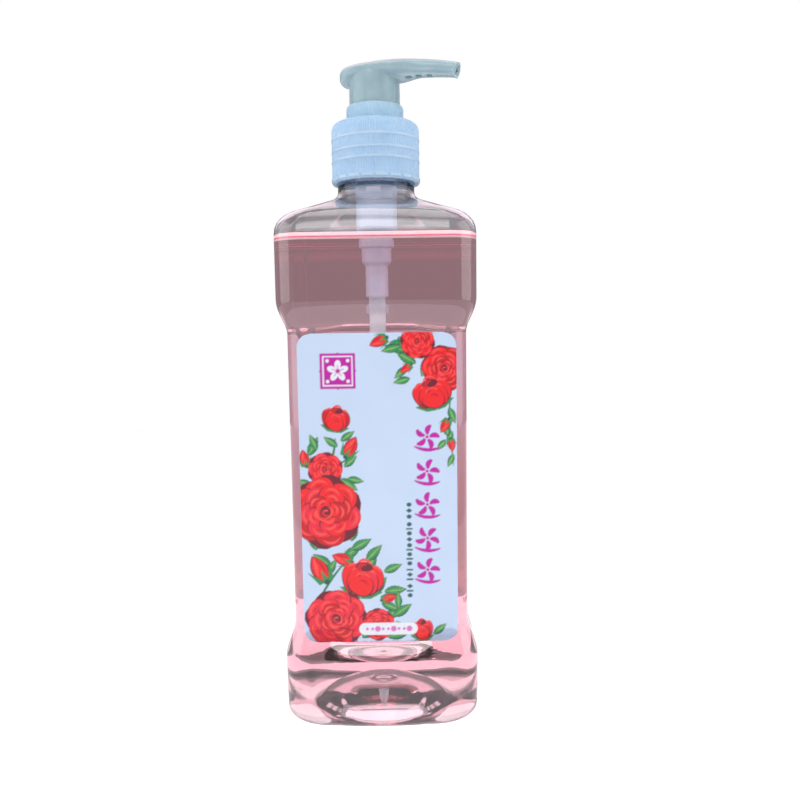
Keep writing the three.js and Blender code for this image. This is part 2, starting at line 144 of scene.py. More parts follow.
def soften(points, steps):
    """Round each corner of an outline. A point is (radius, z, setback, ...); the rest is carried along.

    A point just outside each end of the round keeps the shading of the flats beside it flat."""
    result = []
    for i, point in enumerate(points):
        setback = point[2]
        if setback <= 0 or i in (0, len(points) - 1):
            result.append(tuple(point))
            continue
        ends, guards = [], []
        for other in (points[i - 1], points[i + 1]):
            length = math.dist(point[:2], other[:2])
            share = min(setback / length, 0.49)
            ends.append([lerp(p, q, share) for p, q in zip(point, other)])
            guards.append(tuple(lerp(p, q, min(share * 1.2, 0.495)) for p, q in zip(point, other)))
        result.append(guards[0])
        for step in range(steps + 1):
            t = step / steps
            weights = ((1 - t) ** 2, 2 * t * (1 - t), t * t)
            result.append(tuple(sum(w * value for w, value in zip(weights, trio))
                                for trio in zip(ends[0], point, ends[1])))
        result.append(guards[1])
    return result


def turned(profile, segments):
    """A turned surface from (radius, z) points."""
    rings = []
    for radius, z in [point[:2] for point in profile]:
        rings.append([(radius * math.cos(a), radius * math.sin(a), z)
                      for a in (math.tau * i / segments for i in range(segments))])
    return loft(rings, loop=True)


def fix_normals(piece):
    bm = bmesh.new()
    bm.from_mesh(piece.data)
    bmesh.ops.remove_doubles(bm, verts=bm.verts, dist=1e-7)
    bmesh.ops.recalc_face_normals(bm, faces=bm.faces)
    bm.to_mesh(piece.data)
    bm.free()


def turned_piece(name, profile, body, replaced, material, segments=96):
    verts, faces = turned(soften(profile, TURNED_STEPS), segments)
    piece = make_piece(name, verts, faces, body, replaced, material)
    fix_normals(piece)
    add_edge_split_shading(piece)
    return piece


def add_edge_split_shading(piece, angle=40):
    """Keep edges sharper than the angle crisp."""
    mesh = piece.data
    bm = bmesh.new()
    bm.from_mesh(mesh)
    for edge in bm.edges:
        edge.smooth = len(edge.link_faces) != 2 or edge.calc_face_angle(0) < math.radians(angle)
    bm.to_mesh(mesh)
    bm.free()


# ---------------------------------------------------------------- material helpers

def new_material(name, **inputs):
    """A Principled material; keywords are its socket names with _ for a space."""
    material = bpy.data.materials.new(name)
    material.use_nodes = True
    shader = material.node_tree.nodes["Principled BSDF"]
    for key, value in inputs.items():
        socket = shader.inputs[key.replace("_", " ")]
        socket.default_value = value
    return material


def add_node(material, kind, **settings):
    node = material.node_tree.nodes.new(kind)
    for key, value in settings.items():
        if key in node.inputs:
            node.inputs[key].default_value = value
        else:
            setattr(node, key, value)
    return node


def wire(material, source, output, target, socket):
    material.node_tree.links.new(source.outputs[output], target.inputs[socket])


def shader_of(material):
    return material.node_tree.nodes["Principled BSDF"]


def noise(material, scale, detail=4.0, stretch=(1, 1, 1)):
    """A noise in object space, its scale in cycles per metre."""
    place = add_node(material, "ShaderNodeTexCoord")
    mapping = add_node(material, "ShaderNodeMapping")
    mapping.inputs["Scale"].default_value = stretch
    texture = add_node(material, "ShaderNodeTexNoise", Scale=scale, Detail=detail)
    wire(material, place, "Object", mapping, "Vector")
    wire(material, mapping, "Vector", texture, "Vector")
    return texture


def bump_from(material, texture, strength, distance):
    bump = add_node(material, "ShaderNodeBump", Strength=strength, Distance=distance)
    wire(material, texture, "Fac", bump, "Height")
    wire(material, bump, "Normal", shader_of(material), "Normal")


def vary(material, texture, socket, low, high):
    """Drive a socket by a texture, between two colours or two numbers."""
    ramp = add_node(material, "ShaderNodeValToRGB")
    stops = ramp.color_ramp.elements
    stops[0].position, stops[1].position = 0.3, 0.7
    for stop, value in zip(stops, (low, high)):
        stop.color = (*value, 1) if hasattr(value, "__len__") else (value, value, value, 1)
    wire(material, texture, "Fac", ramp, "Fac")
    wire(material, ramp, "Color", shader_of(material), socket)


# ---------------------------------------------------------------- materials

# Moulding grain, in cycles per metre.
GRAIN_SCALE = 900


def clear_pet():
    """Clear PET with the faint waviness of a blown wall."""
    material = new_material("clear_pet", Base_Color=(0.985, 0.975, 0.985, 1),
                            Transmission_Weight=1.0, IOR=1.5, Roughness=0.015)
    bump_from(material, noise(material, 60, 2, (1, 1, 0.5)), 0.12, 0.0006)
    return material


def pink_oil():
    material = new_material("pink_oil", Base_Color=(1, 1, 1, 1), Roughness=0.0,
                            Transmission_Weight=1.0, IOR=1.42)
    absorb = add_node(material, "ShaderNodeVolumeAbsorption", Color=(0.93, 0.14, 0.24, 1), Density=10.0)
    output = material.node_tree.nodes["Material Output"]
    wire(material, absorb, "Volume", output, "Volume")
    return material


def glowing_wet_rim(name, dark, light, glow):
    """Oil drawn up the wall at its surface, with a painted glow: emission that stands in for the light
    gathered at the rim.
    """
    material = new_material(name, Roughness=0.25, IOR=1.42, Subsurface_Weight=0.3, Subsurface_Scale=0.001,
                            Emission_Color=(*light, 1), Emission_Strength=glow)
    vary(material, noise(material, 120, 2), "Base Color", dark, light)
    bump_from(material, noise(material, 500, 2), 0.05, 0.0001)
    return material


def frosted(name, light, dark, roughness, subsurface, alpha=1.0, glow=0.0):
    """Translucent moulded polypropylene: cloudy colour, a fine matt grain, and a painted glow, emission that
    stands in for the light that passes through it."""
    material = new_material(name, Subsurface_Weight=subsurface, Subsurface_Scale=0.004, Alpha=alpha, IOR=1.49,
                            Subsurface_Radius=(0.7, 0.9, 1.0), Emission_Color=(*light, 1),
                            Emission_Strength=glow)
    vary(material, noise(material, 160, 3), "Base Color", dark, light)
    vary(material, noise(material, 420, 3), "Roughness", roughness * 0.8, roughness * 1.2)
    bump_from(material, noise(material, GRAIN_SCALE, 3), 0.15, 0.00012)
    return material


def label_film(name, subsurface=0.0, printed=False):
    """Satin film; a printed one shows its ink wherever the ink's coverage says so."""
    material = new_material(name, IOR=1.5, Coat_Weight=0.25, Coat_Roughness=0.25, Subsurface_Scale=0.002)
    shader = shader_of(material)
    shader.inputs["Subsurface Weight"].default_value = subsurface
    vary(material, noise(material, 45, 2), "Base Color", (0.545, 0.675, 0.87), (0.585, 0.715, 0.91))
    vary(material, noise(material, 300, 3), "Roughness", 0.42, 0.52)
    bump_from(material, noise(material, 700, 3), 0.08, 0.0001)
    if printed:
        film = shader.inputs["Base Color"].links[0].from_socket
        paint = add_node(material, "ShaderNodeAttribute", attribute_name="ink")
        mottle = add_node(material, "ShaderNodeMix", data_type="RGBA", blend_type="MULTIPLY")
        mottle.inputs["Factor"].default_value = 0.18
        wire(material, paint, "Color", mottle, 6)
        wire(material, noise(material, 1400, 2), "Color", mottle, 7)
        cover = add_node(material, "ShaderNodeMix", data_type="RGBA")
        wire(material, paint, "Alpha", cover, 0)
        material.node_tree.links.new(film, cover.inputs[6])
        material.node_tree.links.new(mottle.outputs[2], cover.inputs[7])
        material.node_tree.links.new(cover.outputs[2], shader.inputs["Base Color"])
    return material


def steel():
    material = new_material("steel", Metallic=1.0)
    vary(material, noise(material, 800, 3, (1, 1, 6)), "Base Color", (0.42, 0.42, 0.44), (0.58, 0.58, 0.6))
    vary(material, noise(material, 1500, 2), "Roughness", 0.18, 0.32)
    return material


PET = clear_pet()
OIL = pink_oil()
# The glow given to these plastics is painted light: emission standing in for light that passes through them.
CAP = frosted("cap_plastic", (0.43, 0.63, 0.87), (0.37, 0.57, 0.82), 0.28, 0.35, glow=0.07)
# Paler and glowing more than the cap: a painted highlight on the raised bands, also used on the hem lugs.
CAP_PAINTED_HIGHLIGHT = frosted("cap_rim", (0.54, 0.75, 0.95), (0.46, 0.69, 0.92), 0.18, 0.35, glow=0.09)
COLLAR = frosted("collar_plastic", (0.42, 0.63, 0.80), (0.36, 0.57, 0.76), 0.28, 0.35, glow=0.06)
HEAD = frosted("head_plastic", (0.36, 0.50, 0.54), (0.29, 0.42, 0.47), 0.22, 0.35, glow=0.04)
MILKY = frosted("milky_plastic", (0.76, 0.84, 1.0), (0.68, 0.76, 0.95), 0.3, 0.4, alpha=0.5, glow=0.10)
TUBE = frosted("tube_plastic", (0.76, 0.96, 1.0), (0.70, 0.90, 1.0), 0.3, 0.4, alpha=0.85, glow=0.08)
WHITE = frosted("white_plastic", (0.80, 0.82, 0.84), (0.72, 0.75, 0.78), 0.3, 0.4)
SEAL = frosted("seal_rubber", (0.72, 0.72, 0.72), (0.62, 0.62, 0.62), 0.6, 0.1)
STEEL = steel()
FILM = label_film("label_film", printed=True)
BACK_FILM = label_film("back_label_film", 0.7)
# Painted light at the oil's surface: the pale ring's colour and glow are a painted highlight; the darker core
# is a painted shade line with a fainter painted glow.
WET_EDGE_PAINTED_HIGHLIGHT = glowing_wet_rim("glowing_wet_rim", (0.93, 0.50, 0.56), (0.96, 0.58, 0.63), 0.38)
WET_CORE_PAINTED_SHADE_AND_GLOW = glowing_wet_rim("wet_core", (0.78, 0.18, 0.26), (0.84, 0.24, 0.32), 0.20)


# ---------------------------------------------------------------- bottle and oil

CORNER_POINTS = 14
FLAT_POINTS = 12
# The wet ring thins to this share of its height, between these places from front to back.
WET_BACK_HEIGHT = 0.12
WET_FADE = (-5, 18)


def square_point(index, half, corner):
    """Point number index of a rounded square: each quarter is an arc and then a flat."""
    per_side = CORNER_POINTS + FLAT_POINTS
    side, step = divmod(index, per_side)
    centre = half - corner
    if step <= CORNER_POINTS:
        angle = math.pi / 2 * step / CORNER_POINTS
        x, y = centre + corner * math.cos(angle), centre + corner * math.sin(angle)
    else:
        along = (step - CORNER_POINTS) / FLAT_POINTS
        x, y = lerp(centre, -centre, along), half
    turn = math.pi / 2 * side
    return x * math.cos(turn) - y * math.sin(turn), x * math.sin(turn) + y * math.cos(turn)


RING_COUNT = 4 * (CORNER_POINTS + FLAT_POINTS)
RING_ANGLES = [math.atan2(*reversed(square_point(i, BLOCK_HALF, BLOCK_CORNER))) for i in range(RING_COUNT)]


def section(half, z, corner, roundness, corner_lift):
    """A section between a rounded square (roundness 0) and a circle (1), raised at its corners."""
    ring = []
    for i, angle in enumerate(RING_ANGLES):
        x, y = square_point(i, half, min(corner, half))
        x = lerp(x, half * math.cos(angle), roundness)
        y = lerp(y, half * math.sin(angle), roundness)
        cornerness = smoothstep(0.55, 1.0, abs(math.sin(2 * angle)))
        ring.append((x, y, z + corner_lift * cornerness))
    return ring


# Each point: half width, z, setback, corner radius, roundness, lift at the corners.
BASE_PROFILE = [
    (0.6, 7.0, 0, 0.6, 1, 0),
    (3.6, 7.0, 0.8, 3.6, 1, 0),
    (4.6, 8.4, 0.8, 4.6, 1, 0),
    (10, 8.2, 3, 10, 1, 0),
    (20, 4.8, 5, 20, 1, 0),
    (STANDING_RING, 0, 1.6, 20, 0.85, 0),
]
BODY_PROFILE = [
    (BLOCK_HALF, 0, 6.5, 12, 0, 0),
    (BLOCK_HALF, 26.5, 2.5, BLOCK_CORNER, 0, 0),
    (WAIST_HALF, 31, 1.8, WAIST_CORNER, 0, 5),
    (WAIST_HALF, 142, 1.8, WAIST_CORNER, 0, -2),
    (BLOCK_HALF, 147.8, 2.6, BLOCK_CORNER, 0, 0),
    (BLOCK_HALF, SHOULDER_EDGE_Z, 6.5, BLOCK_CORNER, 0, 0),
    (NECK_RADIUS, NECK_CORNER_Z, 3.25, NECK_RADIUS, 1, 0),
]
NECK_PROFILE = [
    (NECK_RADIUS, 191.4, 0.3, NECK_RADIUS, 1, 0),
    (12.55, 192, 0.3, 12, 1, 0),
    (12.55, NECK_TOP, 0.4, 12, 1, 0),
    (NECK_BORE, NECK_TOP, 0.4, 10, 1, 0),
]
NECK_INSIDE = [
    (NECK_RADIUS - WALL, 190.2, 0.6, 12, 1, 0),
    (NECK_BORE, 191.8, 0.6, 10, 1, 0),
    (NECK_BORE, 194, 0, 10, 1, 0),
]


def inset_profile(profile, distance):
    """The outline moved inwards, square to itself."""
    moved = []
    for i, point in enumerate(profile):
        normals = []
        for a, b in ((i - 1, i), (i, i + 1)):
            if a < 0 or b >= len(profile):
                continue
            dr, dz = profile[b][0] - profile[a][0], profile[b][1] - profile[a][1]
            length = math.hypot(dr, dz)
            normals.append((-dz / length, dr / length))
        nr = sum(n[0] for n in normals) / len(normals)
        nz = sum(n[1] for n in normals) / len(normals)
        scale = distance / (nr * nr + nz * nz)
        half = max(point[0] + nr * scale, 0.3)
        moved.append((half, point[1] + nz * scale, point[2], max(point[3] - distance, 0.3), *point[4:]))
    return moved


def make_bottle():
    outside = soften(BASE_PROFILE + BODY_PROFILE + NECK_PROFILE, BOTTLE_STEPS)
    inside = soften(inset_profile(BASE_PROFILE + BODY_PROFILE, WALL) + NECK_INSIDE, BOTTLE_STEPS)
    verts, faces = loft([section(h, z, c, r, lift) for h, z, _, c, r, lift in outside + inside[::-1]])
    bottle = make_piece("bottle_shell", verts, faces, "bottle", ["bottle"], PET)
    fix_normals(bottle)
    bottle.visible_shadow = False


def make_oil():
    """Oil that wets the wall, with a painted highlight ring and a painted shade line at its surface.

    Rings near the rim keep the wall's shading flat."""
    inset = WALL - 0.12
    low = [p for p in inset_profile(BASE_PROFILE + BODY_PROFILE, inset) if p[1] < OIL_LEVEL]
    wall = BLOCK_HALF - inset
    top = [
        (wall, OIL_LEVEL - 1.0, 0, BLOCK_CORNER - inset, 0, 0),
        (wall, OIL_LEVEL - 0.2, 0, BLOCK_CORNER - inset, 0, 0),
        (wall, OIL_LEVEL, 0, BLOCK_CORNER - inset, 0, 0),
        (wall - 0.3, OIL_LEVEL, 0, BLOCK_CORNER - 1, 0, 0),
        (wall - 3.2, OIL_LEVEL, 0, BLOCK_CORNER - 3, 0, 0),
        (2, OIL_LEVEL, 0, 2, 1, 0),
    ]
    outline = soften(low + top, BOTTLE_STEPS)
    verts, faces = loft([section(h, z, c, r, lift) for h, z, _, c, r, lift in outline])
    oil = make_piece("oil_fill", verts, faces, "bottle", ["oil"], OIL)
    fix_normals(oil)
    oil.visible_shadow = False
    wet_ring("oil_wet_edge", -2.0, 0.25, 0.10, WET_EDGE_PAINTED_HIGHLIGHT)
    wet_ring("oil_wet_core", -1.35, -0.85, 0.07, WET_CORE_PAINTED_SHADE_AND_GLOW)


def wet_ring(name, low, high, gap, material):
    """A thin ring of oil on the inner wall, between two heights above the oil's level.

    It thins towards the back."""
    outer = BLOCK_HALF - WALL - gap
    outline = [(outer, OIL_LEVEL + low), (outer, OIL_LEVEL + high), (outer - 0.25, OIL_LEVEL + high - 0.05),
               (outer - 0.5, OIL_LEVEL + low)]
    top = OIL_LEVEL + high
    rings = []
    for half, z in outline:
        points = section(half, z, BLOCK_CORNER - BLOCK_HALF + half, 0, 0)
        rings.append([(x, y, top + (z - top) * lerp(1, WET_BACK_HEIGHT, smoothstep(*WET_FADE, y)))
                      for x, y, z in points])
    verts, faces = loft(rings, loop=True)
    ring = make_piece(name, verts, faces, "bottle", (), material)
    fix_normals(ring)


# ---------------------------------------------------------------- closure and collar

CLOSURE_RADIUS = 15.925
CLOSURE_BOTTOM = 192.2
CLOSURE_TOP = 213.7
CLOSURE_RIBS = 110
POINTS_PER_RIB = 6
RIB_DEPTH = 0.26
SMOOTH_BANDS = (199.7, 203.2, 207.5)
BAND_HALF_HEIGHT = 0.42
LUGS = 20
CAP_ROUND = 2.9
CAP_HOLE = 9.1
DECK_UNDERSIDE = 212.6
SKIRT_BORE = 14.35
CAP_ROUND_STEPS = 8


def ribbed_ring(radius, z, ribs, depth):
    """A circle with raised ribs, each a rounded ridge."""
    ring = []
    for i in range(ribs * POINTS_PER_RIB):
        angle = math.tau * i / (ribs * POINTS_PER_RIB)
        ridge = 0.5 + 0.5 * math.cos(ribs * angle)
        r = radius - depth * (1 - ridge ** 0.7)
        ring.append((r * math.cos(angle), r * math.sin(angle), z))
    return ring


def make_closure():
    """Ribbed cap with three smooth raised bands, a rounded shoulder and a notched hem."""
    hem_top = CLOSURE_BOTTOM + 2.4
    rib_top = CLOSURE_TOP - CAP_ROUND
    stations = [(CLOSURE_RADIUS - 0.15, CLOSURE_BOTTOM, 0), (CLOSURE_RADIUS, CLOSURE_BOTTOM + 0.3, 0),
                (CLOSURE_RADIUS, hem_top - 0.2, 0), (CLOSURE_RADIUS, hem_top, RIB_DEPTH)]
    for band in SMOOTH_BANDS:
        low, high = band - BAND_HALF_HEIGHT, band + BAND_HALF_HEIGHT
        stations += [(CLOSURE_RADIUS, low - 0.25, RIB_DEPTH), (CLOSURE_RADIUS, low, 0.06),
                     (CLOSURE_RADIUS, high, 0.06), (CLOSURE_RADIUS, high + 0.25, RIB_DEPTH)]
    stations.append((CLOSURE_RADIUS, rib_top, RIB_DEPTH))
    for step in range(1, CAP_ROUND_STEPS + 1):
        angle = math.pi / 2 * step / CAP_ROUND_STEPS
        radius = CLOSURE_RADIUS - CAP_ROUND * (1 - math.cos(angle))
        stations.append((radius, rib_top + CAP_ROUND * math.sin(angle), RIB_DEPTH * max(1 - step / 6, 0)))
    stations += [(CAP_HOLE + 0.3, CLOSURE_TOP, 0), (CAP_HOLE, CLOSURE_TOP - 0.3, 0),
                 (CAP_HOLE, DECK_UNDERSIDE, 0), (SKIRT_BORE, DECK_UNDERSIDE, 0),
                 (SKIRT_BORE, CLOSURE_BOTTOM + 0.3, 0), (SKIRT_BORE + 0.15, CLOSURE_BOTTOM, 0)]
    rings = [ribbed_ring(r, z, CLOSURE_RIBS, depth) for r, z, depth in stations]
    verts, faces = loft(rings, loop=True)
    closure = make_piece("closure_cap", verts, faces, "closure", ["closure"], CAP)
    fix_normals(closure)
    add_edge_split_shading(closure, 50)
    make_hem_lugs()
    make_bands()


def make_hem_lugs():
    """The break-away hem: a ring of long dashes that stand proud of the cap's lower edge, in the same paler,
    painted-highlight plastic as the bands.
    """
    solids = []
    for lug in range(LUGS):
        middle = math.tau * (lug + 0.5) / LUGS
        half = math.tau / LUGS * 0.40
        arc = [middle + half * (k / 5 - 1) for k in range(11)]
        outline = [(CLOSURE_RADIUS - 0.4, 192.7), (CLOSURE_RADIUS + 0.28, 192.9),
                   (CLOSURE_RADIUS + 0.28, 193.9), (CLOSURE_RADIUS - 0.4, 194.1)]
        rings = [[(r * math.cos(a), r * math.sin(a), z) for r, z in outline] for a in arc]
        solids.append(loft(rings))
    verts, faces = joined(solids)
    lugs = make_piece("closure_hem_lugs", verts, faces, "closure", (), CAP_PAINTED_HIGHLIGHT, smooth=False)
    fix_normals(lugs)


def make_bands():
    """Smooth raised bands round the ribs, paler and glowing as a painted highlight."""
    for number, band in enumerate(SMOOTH_BANDS):
        half = BAND_HALF_HEIGHT
        turned_piece(f"closure_band_{number + 1}", [
            (CLOSURE_RADIUS - 0.3, band - half, 0), (CLOSURE_RADIUS + 0.12, band - half, 0.12),
            (CLOSURE_RADIUS + 0.12, band + half, 0.12), (CLOSURE_RADIUS - 0.3, band + half, 0),
        ], "closure", (), CAP_PAINTED_HIGHLIGHT, 128)


def make_collar():
    """Lock collar: fine ribs up its side, a rounded lip and the web that guides the stem."""
    radius, ribs = 10.375, 64
    stations = [(radius, 213.9, 0), (radius, 214.4, 0.1), (radius, 218.5, 0.1), (radius - 0.12, 219.1, 0.04),
                (radius - 0.4, 219.48, 0), (radius - 0.7, 219.6, 0), (9.45, 219.5, 0), (9.45, 216.2, 0),
                (4.15, 216.2, 0), (4.15, 200.6, 0), (5.2, 200.6, 0), (5.2, 215.2, 0), (8.35, 215.2, 0),
                (8.35, 212.9, 0), (8.9, 212.9, 0), (8.9, 213.9, 0)]
    rings = [ribbed_ring(r, z, ribs, depth) for r, z, depth in stations]
    verts, faces = loft(rings, loop=True)
    collar = make_piece("collar_ring", verts, faces, "pump", ["lock_collar"], COLLAR)
    fix_normals(collar)
    add_edge_split_shading(collar)


# ---------------------------------------------------------------- pump inside the bottle

def make_pump():
    turned_piece("housing_barrel", [
        (4.05, 151.3, 0.3), (4.05, 162.0, 0.5), (5.3, 163.4, 0.5), (5.3, 168.3, 0.2), (6.3, 168.5, 0.4),
        (6.3, 171.1, 0.4), (6.0, 171.3, 0.1), (6.0, 174.8, 0.3), (7.55, 176.0, 0.5), (7.55, 211.1, 0.2),
        (12.4, 211.1, 0.2), (12.4, 212.4, 0.2), (8.2, 212.4, 0.1), (8.2, 215.0, 0.2), (6.35, 215.0, 0.2),
        (6.35, 177.0, 0.2), (3.2, 175.4, 0.2), (3.2, 163.7, 0.1), (2.9, 163.7, 0.1), (2.9, 159.8, 0.1),
        (1.3, 158.9, 0.1), (1.3, 158.6, 0), (3.05, 158.6, 0), (3.05, 151.3, 0),
    ], "pump", ["pump_housing"], MILKY)
    turned_piece("suction_tube", [(2.95, 21, 0.1), (2.95, 158.4, 0), (2.25, 158.4, 0), (2.25, 21, 0.1)],
                 "pump", ["dip_tube"], TUBE, 48)
    turned_piece("stem_tube", [
        (5.6, 183.4, 0.2), (5.6, 184.4, 0.2), (3.9, 184.6, 0.2), (3.9, 226.4, 0.3), (2.9, 226.4, 0.1),
        (2.9, 221.2, 0.1), (1.8, 220.8, 0.1), (1.8, 183.4, 0),
    ], "head", ["pump_stem"], WHITE, 64)
    turned_piece("piston_cup", [
        (6.2, 177.6, 0.1), (6.25, 178.6, 0.2), (5.5, 179.2, 0.4), (5.5, 181.5, 0.4), (6.25, 182.1, 0.2),
        (6.2, 183.1, 0.1), (1.6, 183.1, 0.1), (1.6, 177.6, 0),
    ], "plunger", ["piston_seal"], SEAL, 64)
    turned_piece("gasket_ring", [(12.4, 210.05, 0.2), (12.4, 211, 0.2), (7.9, 211, 0.2), (7.9, 210.05, 0.2)],
                 "pump", ["neck_gasket"], SEAL, 64)
    make_spring()
    for node, material in (("ball_retainer", WHITE), ("piston_seat", WHITE), ("inlet_ball", STEEL),
                           ("outlet_ball", STEEL)):
        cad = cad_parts[node]
        cad.data.materials.clear()
        cad.data.materials.append(material)


def make_spring():
    """Steel wire wound at an even pitch from the lower seat to the upper one."""
    low, high, radius, wire_radius, turns = 164.7, 175.1, 2.4, 0.38, 11
    rings = []
    steps = turns * 30
    for i in range(steps + 1):
        t = i / steps
        angle = math.tau * turns * t
        z = lerp(low + wire_radius, high - wire_radius, t)
        out = Vector((math.cos(angle), math.sin(angle), 0))
        centre = out * radius + Vector((0, 0, z))
        rings.append([tuple(centre + wire_radius * (math.cos(a) * out + math.sin(a) * Vector((0, 0, 1))))
                      for a in (math.tau * k / 8 for k in range(8))])
    verts, faces = loft(rings)
    spring = make_piece("spring_coil", verts, faces, None, ["return_spring"], STEEL)
    fix_normals(spring)
    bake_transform(spring)


# ---------------------------------------------------------------- actuator head

THUMB_END = 12.5
SPOUT_TIP = 31.8
TIP_SLANT = 2.2
SPOUT_ROOT = (7.0, 19.0)
HEAD_CREST = 235.4
CREST_X = 4.0
ARCH_DROP = 3.4
HEAD_VOXEL = 0.26
RECESS_STARTS = (11.8, 15.6, 19.4)
RECESS_LENGTH = 2.4


def head_section(x, points=40, slant=0.0):
    """Across the spout's line: a domed bar, as wide as the column or the spout at x."""
    taper = smoothstep(*SPOUT_ROOT, x)
    along = min(max((x - SPOUT_ROOT[1]) / (SPOUT_TIP - SPOUT_ROOT[1]), 0), 1)
    plan = math.sqrt(max(1 - (-x / THUMB_END) ** 4, 0)) if x < 0 else 1.0
    half = lerp(9.2 * plan, lerp(4.6, 4.0, along), taper)
    blunt = min(1.0, 0.62 + 0.75 * plan)
    top = HEAD_CREST - ARCH_DROP * ((x - CREST_X) / (SPOUT_TIP - CREST_X)) ** 2 - 2.0 * (1 - blunt)
    thickness = lerp(6.6, lerp(5.6, 4.7, along), taper) * blunt
    dome = lerp(3.2, 1.3, taper) * blunt
    ring = []
    for k in range(points):
        angle = math.tau * k / points
        c, s = math.cos(angle), math.sin(angle)
        y = half * math.copysign(abs(c) ** 0.6, c)
        rise = math.copysign(abs(s) ** 0.6, s)
        z = top - thickness / 2 + rise * thickness / 2
        if rise > 0:
            z -= dome * rise * (y / half) ** 2
        ring.append((x - slant * (top - z) / thickness, y, z))
    return ring


def make_head():
    stations = [-12.45 + 0.6 * math.sin(math.pi / 2 * k / 6) ** 2 for k in range(6)]
    stations += [-11.8 + (SPOUT_TIP - 1 + 11.8) * k / 60 for k in range(61)]
    plate = loft([head_section(x) for x in stations] + [head_section(SPOUT_TIP, slant=TIP_SLANT)])
    column = turned(soften([
        (9.2, 216.5, 0.3), (9.2, 230.8, 0.8), (0.9, 230.8, 0), (0.9, 226.8, 0), (4.2, 226.8, 0),
        (4.2, 218.2, 0.2), (5.4, 218.2, 0.2), (5.4, 226.2, 0.3), (8.0, 226.2, 0.3), (8.0, 216.5, 0.2),
    ], TURNED_STEPS), 96)
    verts, faces = joined([plate, column])
    head = make_piece("pump_head", verts, faces, "head", ["actuator_head"], HEAD)
    fix_normals(head)
    head.data.transform(Matrix.Rotation(SPOUT_YAW, 4, "Z"))
    melt_together(head, HEAD_VOXEL, 6)
    cut_away(head, spout_cutters())


def melt_together(piece, voxel, smoothing):
    """Fuse overlapping shells into one skin with small soft fillets."""
    bpy.context.view_layer.objects.active = piece
    remesh = piece.modifiers.new("fuse", "REMESH")
    remesh.mode = "VOXEL"
    remesh.voxel_size = voxel * MM
    remesh.use_smooth_shade = True
    smooth = piece.modifiers.new("soften", "SMOOTH")
    smooth.factor = 0.5
    smooth.iterations = smoothing
    apply_modifiers(piece)


def apply_modifiers(piece):
    graph = bpy.context.evaluated_depsgraph_get()
    mesh = bpy.data.meshes.new_from_object(piece.evaluated_get(graph))
    piece.modifiers.clear()
    piece.data = mesh


def spout_cutters():
    """Scratch solids: the rhombic outlet and the recesses under the spout."""
    def prism(section, x_from, x_to):
        return loft([[(x, y, z) for y, z in section] for x in (x_from, x_to)])

    outlet = prism([(1.7, 229.8), (0, 231.4), (-1.7, 229.8), (0, 228.2)], SPOUT_TIP - 8, SPOUT_TIP + 1)
    recess = [(1.6, 226.0), (1.6, 230.2), (-1.6, 230.2), (-1.6, 226.0)]
    slots = [prism(recess, x, x + RECESS_LENGTH) for x in RECESS_STARTS]
    verts, faces = joined([outlet, *slots])
    mesh = bpy.data.meshes.new("spout_cut")
    mesh.from_pydata([Vector(v) * MM for v in verts], [], faces)
    mesh.transform(Matrix.Rotation(SPOUT_YAW, 4, "Z"))
    cutter = new_object("spout_cut", mesh)
    fix_normals(cutter)
    return cutter


def cut_away(piece, cutter):
    boolean = piece.modifiers.new("cut", "BOOLEAN")
    boolean.operation = "DIFFERENCE"
    boolean.object = cutter
    boolean.solver = "EXACT"
    apply_modifiers(piece)
    bpy.data.objects.remove(cutter)
    piece.data.polygons.foreach_set("use_smooth", [True] * len(piece.data.polygons))
    add_edge_split_shading(piece, 45)


# ---------------------------------------------------------------- stage

CAMERA_PLACE = (7.65, -289.5, 143.1)
CAMERA_PITCH = math.radians(-6.0)
CAMERA_ROLL = math.radians(-0.82)
CAMERA_LENS = 34.65
SENSOR_WIDTH = 36

# From here to the lights, sizes are metres.
ROOM_COLOR = (0.30, 0.285, 0.30, 1)
FLOOR_GLOW = 0.35
FLOOR_RADIUS = 0.8
UNDERLIGHT_GLOW = 0.75
UNDERLIGHT_RADIUS = 0.3
UNDERLIGHT_DROP = 0.0005
BACKDROP_RADIUS = 5
DISC_POINTS = 96


def make_camera():
    data = bpy.data.cameras.new("camera")
    data.lens = CAMERA_LENS
    data.sensor_width = SENSOR_WIDTH
    data.clip_start = 0.01
    camera = new_object("camera", data)
    turn = Euler((math.pi / 2 + CAMERA_PITCH, 0, 0)).to_matrix() @ Matrix.Rotation(CAMERA_ROLL, 3, "Z")
    camera.matrix_world = Matrix.Translation(Vector(CAMERA_PLACE) * MM) @ turn.to_4x4()
    bpy.context.scene.camera = camera


def stage_mesh(name, verts, faces, color, emission=0.0, tint=(1, 1, 1)):
    mesh = bpy.data.meshes.new(name)
    mesh.from_pydata(verts, [], faces)
    stage_piece = new_object(name, mesh)
    mesh.materials.append(new_material(name, Base_Color=(*color, 1), Roughness=0.9,
                                       Emission_Color=(*tint, 1), Emission_Strength=emission))
    return stage_piece


def stage_disc(name, radius, z, *looks):
    edge = [(radius * math.cos(math.tau * k / DISC_POINTS), radius * math.sin(math.tau * k / DISC_POINTS), z)
            for k in range(DISC_POINTS)]
    return stage_mesh(name, edge, [tuple(range(DISC_POINTS))], *looks)


def hide_from(piece, *rays):
    for ray in rays:
        setattr(piece, "visible_" + ray, False)


